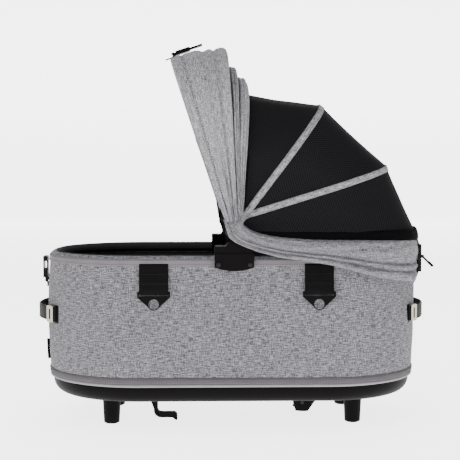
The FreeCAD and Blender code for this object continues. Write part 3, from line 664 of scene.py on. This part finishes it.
# ------------------------------------------------------------------ small straps
FRONT_LOOP = [
    (-331.6, 222.5), (-331.9, 240), (-331.0, 247.0), (-331.6, 250.2), (-334, 251.3), (-336.6, 250.0),
    (-337.3, 247.2), (-335.6, 244.9), (-333.6, 243.6), (-333.1, 236),
]
REAR_LOW = bez([(331.6, 223), (332.2, 235.6), (339.6, 250.0), (343.9, 262.2), (343.9, 270.0)])
REAR_HIGH = bez([(343.9, 303.0), (343.9, 311.8), (339.4, 327.4)])
front_web = ribbon("front_buckle_webbing", FRONT_LOOP, 1, 0.0, 10.1, WEBBING, 1.0, cols=8)
put(front_web, "cot", "webbing_black", "front_buckle_strap")
low_web = ribbon("rear_webbing_low", REAR_LOW, 1, 0.0, 10.0, WEBBING, 1.3, cols=8)
put(low_web, "cot", "webbing_black", "rear_strap")
high_web = ribbon("rear_webbing_high", REAR_HIGH, 1, 0.0, 10.0, WEBBING, 1.3, cols=8)
put(high_web, "cot", "webbing_black")


# ------------------------------------------------------------------ hood arches
def arch(half_w, top, foot, shares=(26, 34, 30), top_r=CROWN_R, corner_r=CORNER_R):
    """Half by half: legs, corners and crown. Gives y, n and the outward direction of each point."""
    reach = half_w - corner_r
    cn = (top - top_r) + math.sqrt((top_r - corner_r) ** 2 - reach ** 2)
    k = top_r / (top_r - corner_r)
    tn = (top - top_r) + (cn - (top - top_r)) * k
    turn = math.atan2(tn - cn, reach * k - reach)
    leg = np.linspace(foot, cn, shares[0], endpoint=False)
    a = np.linspace(0, turn, shares[1], endpoint=False)
    b = np.linspace(turn, math.pi / 2, shares[2] + 1)
    y = np.concatenate([0 * leg + half_w, reach + corner_r * np.cos(a), top_r * np.cos(b)])
    n = np.concatenate([leg, cn + corner_r * np.sin(a), (top - top_r) + top_r * np.sin(b)])
    ny = np.concatenate([0 * leg + 1, np.cos(a), np.cos(b)])
    nn = np.concatenate([0 * leg, np.sin(a), np.sin(b)])
    flip = slice(None, None, -1)
    y, n = np.concatenate([-y, y[flip][1:]]), np.concatenate([n, n[flip][1:]])
    ny, nn = np.concatenate([-ny, ny[flip][1:]]), np.concatenate([nn, nn[flip][1:]])
    return y, n, ny, nn


def place(angle, e, y, n):
    """Point of the hood: lean in degrees, offset e across the bow, height n along it."""
    t = np.radians(angle)
    return np.stack(
        [AXIS[0] + e * np.cos(t) + n * np.sin(t), y + 0 * n, AXIS[1] - e * np.sin(t) + n * np.cos(t)], -1
    )


def folded_sheet(keys, foot, per=5, rounds=2, creases=(), seed=3, amp=1.0):
    """Rows of arches through the keys (lean, e, crown, half width), softened at the turns.

    creases are (key position, depth, width): dents that run along the whole arch.
    """
    keys = np.asarray(keys, float)
    count = (len(keys) - 1) * per + 1
    t = np.linspace(0, len(keys) - 1, count)
    rows = np.stack([np.interp(t, np.arange(len(keys)), keys[:, k]) for k in range(4)], -1)
    for _ in range(rounds):
        rows[1:-1] = (rows[:-2] + 2 * rows[1:-1] + rows[2:]) / 4
    out = []
    for pos, (angle, e, top, half_w) in zip(t, rows):
        y, n, ny, nn = arch(half_w, top, foot)
        dent = sum(-depth * np.exp(-((pos - at) / width) ** 2) for at, depth, width in creases)
        u = lengths(np.stack([y, n], -1))
        near_hub = 1 - smooth(n, 20, 110)
        ripple = amp * (0.5 + 0.7 * near_hub) * waves(u, pos + 0 * u, seed, 190, 2.6)
        ripple = ripple + 0.35 * amp * waves(u, pos + 0 * u, seed + 1, 60, 1.3)
        gather = 1.1 * near_hub * np.sin(2 * np.pi * (pos / 2.3 + 0.012 * n)) * smooth(n, 4, 30)
        d = dent * (0.75 + 0.5 * near_hub) + ripple + gather
        out.append(place(angle, e, y + ny * d, n + nn * d))
    return np.stack(out), t


F1 = [
    (-16.6, 4.6, 308.6, 194.6), (-18.2, -0.6, 308.8, 195.2), (-18.4, -2.4, 311.5, 198.6),
    (-18.4, -2.6, 315.0, 201.6),
    (-18.4, -1.6, 317.6, 203.2), (-17.9, 0.6, 318.6, 203.8), (-17.1, 3.0, 319.2, 204.2),
    (-16.2, 5.0, 319.2, 204.0),
    (-14.4, 6.0, 319.6, 204.4), (-12.5, 7.1, 320.2, 204.8), (-10.6, 8.2, 320.0, 204.6),
    (-8.9, 9.1, 319.0, 204.0),
    (-7.7, 9.8, 320.2, 204.6), (-6.5, 10.5, 318.6, 203.6), (-5.2, 11.3, 320.6, 204.8),
    (-3.9, 12.3, 320.4, 204.6),
    (-3.1, 13.2, 319.4, 204.0), (-2.97, 13.8, 316.4, 203.0), (-2.95, 13.8, 308.0, 201.6),
]
F2 = [
    (-2.94, 14.3, 314.0, 202.6), (-2.94, 14.6, 300.0, 200.6), (-2.93, 15.0, 280.0, 198.6),
    (-2.92, 15.35, 262.0, 197.6),
    (-2.92, 15.8, 272.0, 198.4), (-2.9, 16.2, 282.0, 201.0), (-2.6, 16.3, 286.2, 203.2),
    (-2.1, 16.2, 287.2, 203.8),
    (-1.6, 16.2, 286.8, 203.6), (-1.1, 16.3, 287.0, 203.8), (-0.6, 16.4, 286.0, 203.4),
    (-0.3, 16.6, 282.8, 202.4),
    (-0.27, 16.7, 272.0, 201.2),
]
F3 = [
    (-0.24, 17.0, 278.0, 201.8), (-0.2, 17.2, 262.0, 199.4), (-0.17, 17.4, 244.0, 197.6),
    (-0.14, 17.6, 256.0, 199.6),
    (-0.1, 17.8, 265.0, 202.2), (0.3, 18.0, 268.8, 203.2), (1.0, 18.3, 269.4, 203.6),
    (1.8, 18.6, 268.6, 203.4),
    (2.6, 19.0, 267.0, 203.2), (3.3, 19.5, 262.0, 202.6), (3.7, 19.9, 253.0, 201.6),
    (3.9, 20.0, 245.0, 199.0),
    (4.2, 19.6, 241.2, 195.0), (4.4, 19.2, 239.0, 189.6),
]
# bows on both sides of the front pleats, lean of the fold between them, and where the change starts and ends
FRONT_FOLD = ("bow_f0", "bow_f1", -10.75, -20, 25)

# the pleats of the fan are drawn in the lit copy of the linen (painted light)
f1_pts, f1_t = folded_sheet(F1, 5.0, creases=((7.0, 1.8, 0.32), (10.6, 3.4, 0.5), (13.0, 4.2, 0.42)), seed=21)
fan_front = surface("fan_front", f1_pts, LIT_FAN_GREY, centre=HOOD_IN, thick=1.0)
bend(fan_front, *FRONT_FOLD, "fabric_grey", "fan_panel_front")
f2_pts, _ = folded_sheet(F2, 5.0, creases=((8.0, 3.4, 0.38), (9.5, 3.0, 0.32)), seed=31)
fan_middle = surface("fan_middle", f2_pts, LIT_FAN_GREY, centre=HOOD_IN, thick=0.9)
bend(fan_middle, "bow_f1", "bow_f2", -2.94, 14.5, 16.1, "fabric_grey", "fan_panel_middle")
f3_pts, _ = folded_sheet(F3, 5.0, creases=((6.6, 3.2, 0.4), (8.6, 3.4, 0.4)), seed=41)
fan_rear = surface("fan_rear", f3_pts, LIT_FAN_GREY, centre=HOOD_IN, thick=0.9)
bend(fan_rear, "bow_f2", "bow_m0", -0.15, 16.9, 24.0, "fabric_grey", "fan_panel_rear")


def row_line(pts, t, at):
    k = int(np.argmin(np.abs(t - at)))
    line = pts[k]
    across = pts[min(k + 1, len(pts) - 1)] - pts[max(k - 1, 0)]
    along = np.gradient(line, axis=0)
    n = np.cross(along, across)
    n /= np.maximum(np.linalg.norm(n, axis=1, keepdims=True), 1e-9)
    c = np.array(HOOD_IN, float)
    if ((line - c) * n).sum() < 0:
        n = -n
    return line, n


for k, at in enumerate((6.85, 7.25)):
    line, n = row_line(f1_pts, f1_t, at)
    keep = line[:, 2] > 385
    row = stitches("stitch_fan_seam_%d" % k, line[keep], n[keep], THREAD_DARK, 4.4, 3.0, 0.9, 0.7, 0.25)
    bend(row, *FRONT_FOLD, "fabric_grey")


# sleeves of cloth round the bows, seen from inside the hood
BOWS = {
    "fan_bow_front": (-3.1, 9.0, 317.0, 194.9, "bow_f1"),
    "fan_bow_rear": (-1.0, 13.0, 285.0, 192.1, "bow_f2"),
    "mesh_bow_front": (4.4, 18.0, 237.0, 189.3, "bow_m0"),
    "mesh_bow_middle": (37.2, 4.0, 272.6, 186.5, "bow_m1"),
    "mesh_bow_rear": (72.8, -17.2, 303.7, 183.7, "bow_m2"),
}


def sleeve(name, bow, material, slot, half=(5.7, 1.9), foot=42.0):
    angle, off, top, half_w, body = BOWS[bow]
    y, n, ny, nn = arch(half_w - 1.1, top - 1.1, foot, corner_r=CORNER_R - 1.1, top_r=CROWN_R - 1.1)
    t = math.radians(angle)
    path = place(angle, off, y, n)
    side = np.tile([math.cos(t), 0, -math.sin(t)], (len(y), 1))
    out = np.stack([nn * math.sin(t), ny, nn * math.cos(t)], -1)
    obj = section_sweep(name, path, side, out, half, 0.5, material, steps=14, centre=HOOD_IN)
    return put(obj, body, slot)


# the fan's bow sleeves also take the lit copy of the linen (painted light)
for bow in ("fan_bow_front", "fan_bow_rear"):
    sleeve("sleeve_" + bow, bow, LIT_FAN_GREY, "fabric_grey")
sleeve("sleeve_mesh_bow_front", "mesh_bow_front", BLACK_CLOTH, "fabric_black")
sleeve("sleeve_mesh_bow_middle", "mesh_bow_middle", BLACK_CLOTH, "fabric_black", half=(5.6, 1.7))
sleeve("sleeve_mesh_bow_rear", "mesh_bow_rear", BLACK_CLOTH, "fabric_black", half=(5.6, 1.7))


# ------------------------------------------------------------------ mesh of the hood
def arch_points(angle, e, top, half_w, foot, out=0.0):
    y, n, ny, nn = arch(half_w, top, foot)
    return place(angle, e, y + ny * out, n + nn * out)


def taut(name, first, second, rows, sag, seed):
    w = np.linspace(0, 1, rows)[:, None, None]
    flat = first[None] * (1 - w) + second[None] * w
    inward = np.array(NET_IN) - flat
    inward /= np.linalg.norm(inward, axis=2, keepdims=True)
    u = lengths(first)
    U, WW = np.meshgrid(u, np.linspace(0, 1, rows) * 100)
    soft = 0.35 * waves(U, WW, seed, 160, 90)[..., None]
    flat = flat + inward * (4 * sag * w * (1 - w) + soft * np.sin(np.pi * w))
    return surface(name, flat, NET, centre=NET_IN, thick=0.5, true_v=True)


m0_edge = arch_points(4.4, 19.0, 239.6, 190.0, 14.0)
m1_front = arch_points(37.2, 0.5, 274.8, 187.6, 14.0)
m1_back = arch_points(37.2, 7.5, 274.8, 187.6, 14.0)
m2_front = arch_points(72.8, -20.7, 305.8, 185.0, 22.0)
m2_back = arch_points(72.8, -13.7, 305.8, 185.0, 22.0)
net_front = taut("net_front", m0_edge, m1_front, 30, 1.6, 61)
bend(net_front, "bow_m0", "bow_m1", 20.8, -36, 36, "mesh_black", "mesh_panel_front")
net_middle = taut("net_middle", m1_back, m2_front, 34, 2.0, 62)
bend(net_middle, "bow_m1", "bow_m2", 55.0, -44, 44, "mesh_black", "mesh_panel_middle")


def plan_arch(half_w, reach, foot, z):
    y, n, _, _ = arch(half_w, reach, foot)
    return np.stack([AXIS[0] + n, y, 0 * n + z], -1)


net_low = taut("net_rear", m2_back, plan_arch(189.5, 340.4, 22.0, 334.0), 24, 1.2, 63)
bend(net_low, "bow_m2", "cot", 81.4, -23, 23, "mesh_black", "mesh_panel_rear")


def bow_tape(name, bow, e_from, e_to, foot, lift):
    angle, off, top, half_w, body = BOWS[bow]
    rows = []
    for f in np.linspace(0, 1, 9):
        edge = 1 - (2 * f - 1) ** 6
        y, n, ny, nn = arch(half_w, top, foot)
        u = lengths(np.stack([y, n], -1))
        d = lift * (0.35 + 0.65 * edge) + 0.15 * waves(u, f + 0 * u, 71, 70, 1.5)
        rows.append(place(angle, off + e_from + (e_to - e_from) * f, y + ny * d, n + nn * d))
    rows = np.stack(rows)
    tape = surface(name, rows, TAPE, centre=NET_IN, thick=0.9)
    put(tape, body, "piping_grey")
    for k in (1, 7):
        line = rows[k]
        n3 = line - np.array(NET_IN)
        n3 /= np.linalg.norm(n3, axis=1, keepdims=True)
        put(stitches(name + "_stitch_%d" % k, line, n3, THREAD_GREY, 4.2, 2.8, 0.8, 0.5), body, "piping_grey")


bow_tape("tape_mesh_middle", "mesh_bow_middle", -5.8, 5.8, 20.0, 3.3)
bow_tape("tape_mesh_rear", "mesh_bow_rear", -5.8, 5.8, 20.0, 3.2)

# black hem of the mesh over the base wire
HEM_PROFILE = (
    (-3.4, 345.5), (-1.6, 343.5), (-0.2, 340.0), (0.8, 335.5), (1.2, 331.0), (0.8, 327.0), (-0.2, 324.4),
    (-3.0, 323.6),
)
hem_rows = []
for out, z in HEM_PROFILE:
    y, n, ny, nn = arch(190.2, 342.6, 40.0)
    u = lengths(np.stack([y, n], -1))
    d = out + 0.5 * waves(u, z + 0 * u, 81, 60, 20)
    hem_rows.append(np.stack([AXIS[0] + n + nn * d, y + ny * d, 0 * n + z], -1))
hem_band = surface("hood_hem_black", np.stack(hem_rows), BLACK_CLOTH, centre=(60, 0, 330), thick=1.0)
put(hem_band, "cot", "fabric_black")


# ------------------------------------------------------------------ skirt of the hood
class Plan:
    """Outline of the skirt seen from above: along one side, round the rear, back along the other."""

    def __init__(self, half_w, reach, start):
        y, n, ny, nn = arch(half_w, reach, start, (60, 60, 60))
        self.xy = np.stack([AXIS[0] + n, y], -1)
        self.out = np.stack([nn, ny], -1)
        self.s = lengths(self.xy)

    def at(self, s, off):
        x = np.interp(s, self.s, self.xy[:, 0]) + np.interp(s, self.s, self.out[:, 0]) * off
        y = np.interp(s, self.s, self.xy[:, 1]) + np.interp(s, self.s, self.out[:, 1]) * off
        return x, y


# distances along the plan are measured from its start, 16 mm in front of the hood's axis
SKIRT_START = -16.0
skirt_plan = Plan(199.0, 339.0, SKIRT_START)
START_X = AXIS[0] + SKIRT_START
SIDE_END = 216.0
LOWER = [
    (-22.6, 373.0), (-18.8, 364.0), (-16.2, 356.5), (-13.0, 346.0),
    (-9.4, 335.4), (1.0, 327.4), (14.0, 321.0),
    (38.0, 311.6), (75.0, 301.5), (115.0, 296.0), (158.0, 289.5),
    (198.0, 280.0), (238.0, 269.0), (300.0, 259.5), (366.0, 254.0),
    (430.0, 252.0), (500.0, 251.5),
]
UPPER = [
    (8.5, 378.0), (11.4, 366.0), (12.8, 359.5), (14.0, 355.0), (17.5, 350.5), (25.0, 345.0), (36.0, 339.8),
    (55.0, 334.6), (85.0, 330.4), (122.0, 327.8), (162.0, 326.6),
    (200.0, 326.3), (238.0, 326.3), (300.0, 326.6), (366.0, 327.0),
    (430.0, 327.5), (500.0, 327.5),
]


def skirt():
    t = np.arange(len(LOWER))
    tt = np.linspace(0, len(LOWER) - 1, 190)
    low = np.stack([np.interp(tt, t, np.array(LOWER)[:, k]) for k in (0, 1)], -1)
    top = np.stack([np.interp(tt, t, np.array(UPPER)[:, k]) for k in (0, 1)], -1)
    for _ in range(4):
        for line in (low, top):
            line[1:-1] = (line[:-2] + 2 * line[1:-1] + line[2:]) / 4
    # lengths beyond SIDE_END follow the round of the plan, so the last point is the middle of the rear
    side_length = SIDE_END - START_X
    scale = (skirt_plan.s[-1] / 2 - side_length) / (LOWER[-1][0] - SIDE_END)
    rows = []
    vs = np.concatenate([[-0.06, -0.045, -0.03, -0.015], np.linspace(0, 1, 44), [1.03, 1.06, 1.10]])
    for v in vs:
        f = np.clip(v, 0, 1)
        s = low[:, 0] * (1 - f) + top[:, 0] * f
        z = low[:, 1] * (1 - f) + top[:, 1] * f
        s = np.where(s < SIDE_END, s - START_X, side_length + (s - SIDE_END) * scale)
        grow = smooth(tt, 4, 14)
        hub = smooth(tt, 0.0, 2.0) * (1 - smooth(tt, 4.0, 7.5))
        # three puffs with two folds between them
        puffs = np.abs(np.sin(np.pi * np.interp(f, [0, 0.25, 0.43, 1.0], [0.1, 1, 2, 2.8]))) ** 0.7
        size = np.interp(f, [0, 0.12, 0.25, 0.34, 0.43, 0.72, 1.0], [3.4, 4.6, 4.2, 3.8, 4.2, 5.4, 4.2])
        off = size * puffs * (0.35 + 0.65 * grow) - 1.4
        fold = np.exp(-((f - 0.25) / 0.035) ** 2) + np.exp(-((f - 0.43) / 0.03) ** 2)
        off = off - fold * (1.0 + 1.6 * grow)
        rumple = 1.1 * waves(s, f * 75 + 0 * s, 91, 120, 30) * (0.4 + 0.6 * grow)
        off = off + rumple * (1 - smooth(f, 0.9, 1.0))
        off = off + 0.5 * waves(s, f * 75 + 0 * s, 92, 38, 14)
        off = off + 8.6 * hub
        hub_folds = (1 - smooth(tt, 5.5, 9.0)) * smooth(tt, 0.8, 2.0)
        hub_folds = hub_folds * smooth(f, 0, 0.1) * (1 - smooth(f, 0.9, 1))
        off = off + 1.4 * hub_folds * np.sin(2 * np.pi * (2.6 * f + 0.05 * tt))
        if v < 0:
            off = off - 6.5 * (-v / 0.06)
            z = z + 2.0 * (v / 0.06) ** 2
        if v > 1:
            g = (v - 1) / 0.10
            off = off * (1 - g) - 8.5 * g * (1 - hub) - 3 * g * hub
            z = z + 4.5 * g
        x, y = skirt_plan.at(s, off)
        left = np.stack([x, y, z], -1)
        right = left[::-1][1:] * (1, -1, 1)
        # small differences from side to side, as sewn cloth has
        right[:, 2] += 0.8 * waves(right[:, 0], 0 * right[:, 0], 93, 90, 50) * (1 - smooth(f, 0.6, 1.0))
        rows.append(np.vstack([left, right]))
    return np.stack(rows)


skirt_obj = surface("hood_skirt_cloth", skirt(), SKIRT_GREY, centre=(60, 0, 300), thick=1.4)
put(skirt_obj, "cot", "fabric_grey", "hood_skirt")

# strap loop of the hood clip
clip_line = [(-10.5, 320.3), (-4.0, 320.4), (1.5, 320.7)] + [
    (6.0 + 3.1 * math.cos(t), 324.0 + 3.1 * math.sin(t)) for t in np.linspace(-2.3, 2.6, 12)
]
clip_line = np.array(clip_line)
cs = lengths(clip_line)
ca = np.linspace(0, cs[-1], 30)
ce = np.interp(ca, cs, clip_line[:, 0])
cr = np.interp(ca, cs, clip_line[:, 1])
cw = np.linspace(-9.5, 9.5, 8)
E, Wd = np.meshgrid(ce, cw, indexing="ij")
Rr, _ = np.meshgrid(cr, cw, indexing="ij")
clip_pts = place(FRONT_LEAN, E, Wd, Rr)
clip_web = surface("hood_clip_webbing", clip_pts, WEBBING, centre=HOOD_IN, thick=1.0)
put(clip_web, "bow_f0", "webbing_black", "hood_clip_strap")


# ------------------------------------------------------------------ floor mat
MAT_SIDES = 120


def padded_mat():
    lo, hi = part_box("floor_mat")
    cx, cy = (lo.x + hi.x) / 2, (lo.y + hi.y) / 2
    hl, hw = (hi.x - lo.x) / 2 - 0.004, (hi.y - lo.y) / 2 - 0.004
    r = hw - 0.013
    bm = bmesh.new()
    ring_pts = []
    for k in range(MAT_SIDES):
        a = 2 * math.pi * k / MAT_SIDES
        px = (hl - r) * (1 if math.cos(a) > 0 else -1) + r * math.cos(a)
        py = (hw - r) * (1 if math.sin(a) > 0 else -1) + r * math.sin(a)
        ring_pts.append((cx + px, cy + py))
    z0, z1 = lo.z + 0.004, hi.z - 0.006
    low = [bm.verts.new((x, y, z0)) for x, y in ring_pts]
    high = [bm.verts.new((x, y, z1)) for x, y in ring_pts]
    bm.faces.new(low[::-1])
    bm.faces.new(high)
    for k in range(MAT_SIDES):
        bm.faces.new((low[k], low[(k + 1) % MAT_SIDES], high[(k + 1) % MAT_SIDES], high[k]))
    me = bpy.data.meshes.new("mat_start")
    bm.to_mesh(me)
    bm.free()
    obj = bpy.data.objects.new("mat_cushion", me)
    bpy.context.scene.collection.objects.link(obj)
    bpy.context.view_layer.objects.active = obj
    obj.select_set(True)
    mod = obj.modifiers.new("remesh", "REMESH")
    mod.mode = "VOXEL"
    mod.voxel_size = 0.006
    bpy.ops.object.modifier_apply(modifier="remesh")
    start = np.array([v.co for v in obj.data.vertices])
    # tufts and edge stay put while the filling pushes the cover out
    group = obj.vertex_groups.new(name="held")
    tufts = [(cx + tx, cy + ty) for tx in (-0.2, -0.1, 0, 0.1, 0.2) for ty in (-0.08, 0, 0.08)]
    for i, p in enumerate(start):
        d = min(math.hypot(p[0] - a, p[1] - b) for a, b in tufts)
        if d < 0.007 or p[2] < z0 + 0.002:
            group.add([i], 1.0, "REPLACE")
    cm = obj.modifiers.new("cloth", "CLOTH")
    st = cm.settings
    st.quality = 5
    st.mass = 0.25
    st.tension_stiffness = 12
    st.compression_stiffness = 6
    st.shear_stiffness = 6
    st.bending_stiffness = 0.4
    st.use_pressure = True
    st.uniform_pressure_force = 4.0
    st.effector_weights.gravity = 0.0
    st.vertex_group_mass = "held"
    st.pin_stiffness = 1.0
    st.time_scale = 0.5
    cm.point_cache.frame_start = 1
    cm.point_cache.frame_end = 20
    scene = bpy.context.scene
    for f in range(1, 21):
        scene.frame_set(f)
    dg = bpy.context.evaluated_depsgraph_get()
    ev = obj.evaluated_get(dg)
    moved = np.array([v.co for v in ev.data.vertices])
    if moved.shape == start.shape and np.isfinite(moved).all():
        d = moved - start
        size = np.linalg.norm(d, axis=1, keepdims=True)
        d *= np.minimum(1, 0.005 / np.maximum(size, 1e-9))
        final = start + d
        final[:, 2] = np.clip(final[:, 2], lo.z + 0.0004, None)
    else:
        final = start
    obj.modifiers.remove(cm)
    scene.frame_set(1)
    obj.data.vertices.foreach_set("co", final.astype(np.float32).reshape(-1))
    sub = obj.modifiers.new("soft", "SUBSURF")
    sub.levels = sub.render_levels = 1
    bpy.ops.object.modifier_apply(modifier="soft")
    me = obj.data
    co = np.array([v.co for v in me.vertices])
    layer = me.uv_layers.new(name="UVMap")
    index = np.zeros(len(me.loops), np.int32)
    me.loops.foreach_get("vertex_index", index)
    uv = np.stack([co[index, 0] + 0.3 * co[index, 2], co[index, 1] + 0.3 * co[index, 2]], -1)
    layer.data.foreach_set("uv", uv.astype(np.float32).reshape(-1))
    me.polygons.foreach_set("use_smooth", np.ones(len(me.polygons), bool))
    me.materials.clear()
    me.materials.append(MAT_CLOTH)
    obj.select_set(False)
    return obj


mat_obj = padded_mat()
put(mat_obj, "cot", "mat_grey", "floor_mat")


# ------------------------------------------------------------------ studio
def studio():
    rng_x, near, far, rise = 7.0, -4.0, 8.0, 4.5
    prof = [(near, 0.0), (far - 1.0, 0.0)]
    prof += [(far - 1.0 + math.sin(a), 1.0 - math.cos(a)) for a in np.linspace(0, math.pi / 2, 16)]
    prof += [(far, rise)]
    verts = [(x, y, z) for y, z in prof for x in (-rng_x, rng_x)]
    faces = [(2 * k, 2 * k + 1, 2 * k + 3, 2 * k + 2) for k in range(len(prof) - 1)]
    me = bpy.data.meshes.new("studio_floor")
    me.from_pydata(verts, [], faces)
    me.polygons.foreach_set("use_smooth", np.ones(len(me.polygons), bool))
    m, _, bsdf = new_material("studio_white")
    bsdf.inputs["Base Color"].default_value = (0.86, 0.86, 0.87, 1)
    bsdf.inputs["Roughness"].default_value = 0.9
    bsdf.inputs["Specular IOR Level"].default_value = 0.0
    bsdf.inputs["Emission Color"].default_value = (1, 1, 1, 1)
    bsdf.inputs["Emission Strength"].default_value = 3.4
    me.materials.append(m)
    floor = bpy.data.objects.new("studio_floor", me)
    bpy.context.scene.collection.objects.link(floor)
    world = bpy.data.worlds.new("studio")
    world.use_nodes = True
    world.node_tree.nodes["Background"].inputs[0].default_value = (1.0, 1.0, 1.0, 1)
    world.node_tree.nodes["Background"].inputs[1].default_value = 0.55
    bpy.context.scene.world = world
    for name, at, size, power in (
        ("key", (-1.5, -2.2, 2.2), 1.6, 46),
        ("fill", (1.9, -2.4, 1.2), 1.8, 22),
        ("top", (0.1, 0.2, 2.6), 2.0, 34),
    ):
        light = bpy.data.lights.new(name, "AREA")
        light.size = size
        light.energy = power
        lamp = bpy.data.objects.new(name, light)
        lamp.location = at
        lamp.rotation_euler = (Vector((0, 0, 0.3)) - Vector(at)).to_track_quat("-Z", "Y").to_euler()
        bpy.context.scene.collection.objects.link(lamp)


studio()
camera = bpy.data.cameras.new("camera")
camera.lens = 94.5
camera.sensor_width = 36
cam = bpy.data.objects.new("camera", camera)
cam.location = Vector(metres((-64.0, -2202.0, 459.0)))
aim = Vector(metres((-2.0, 0.0, 337.0)))
cam.rotation_euler = (aim - cam.location).to_track_quat("-Z", "Y").to_euler()
bpy.context.scene.collection.objects.link(cam)
bpy.context.scene.camera = cam
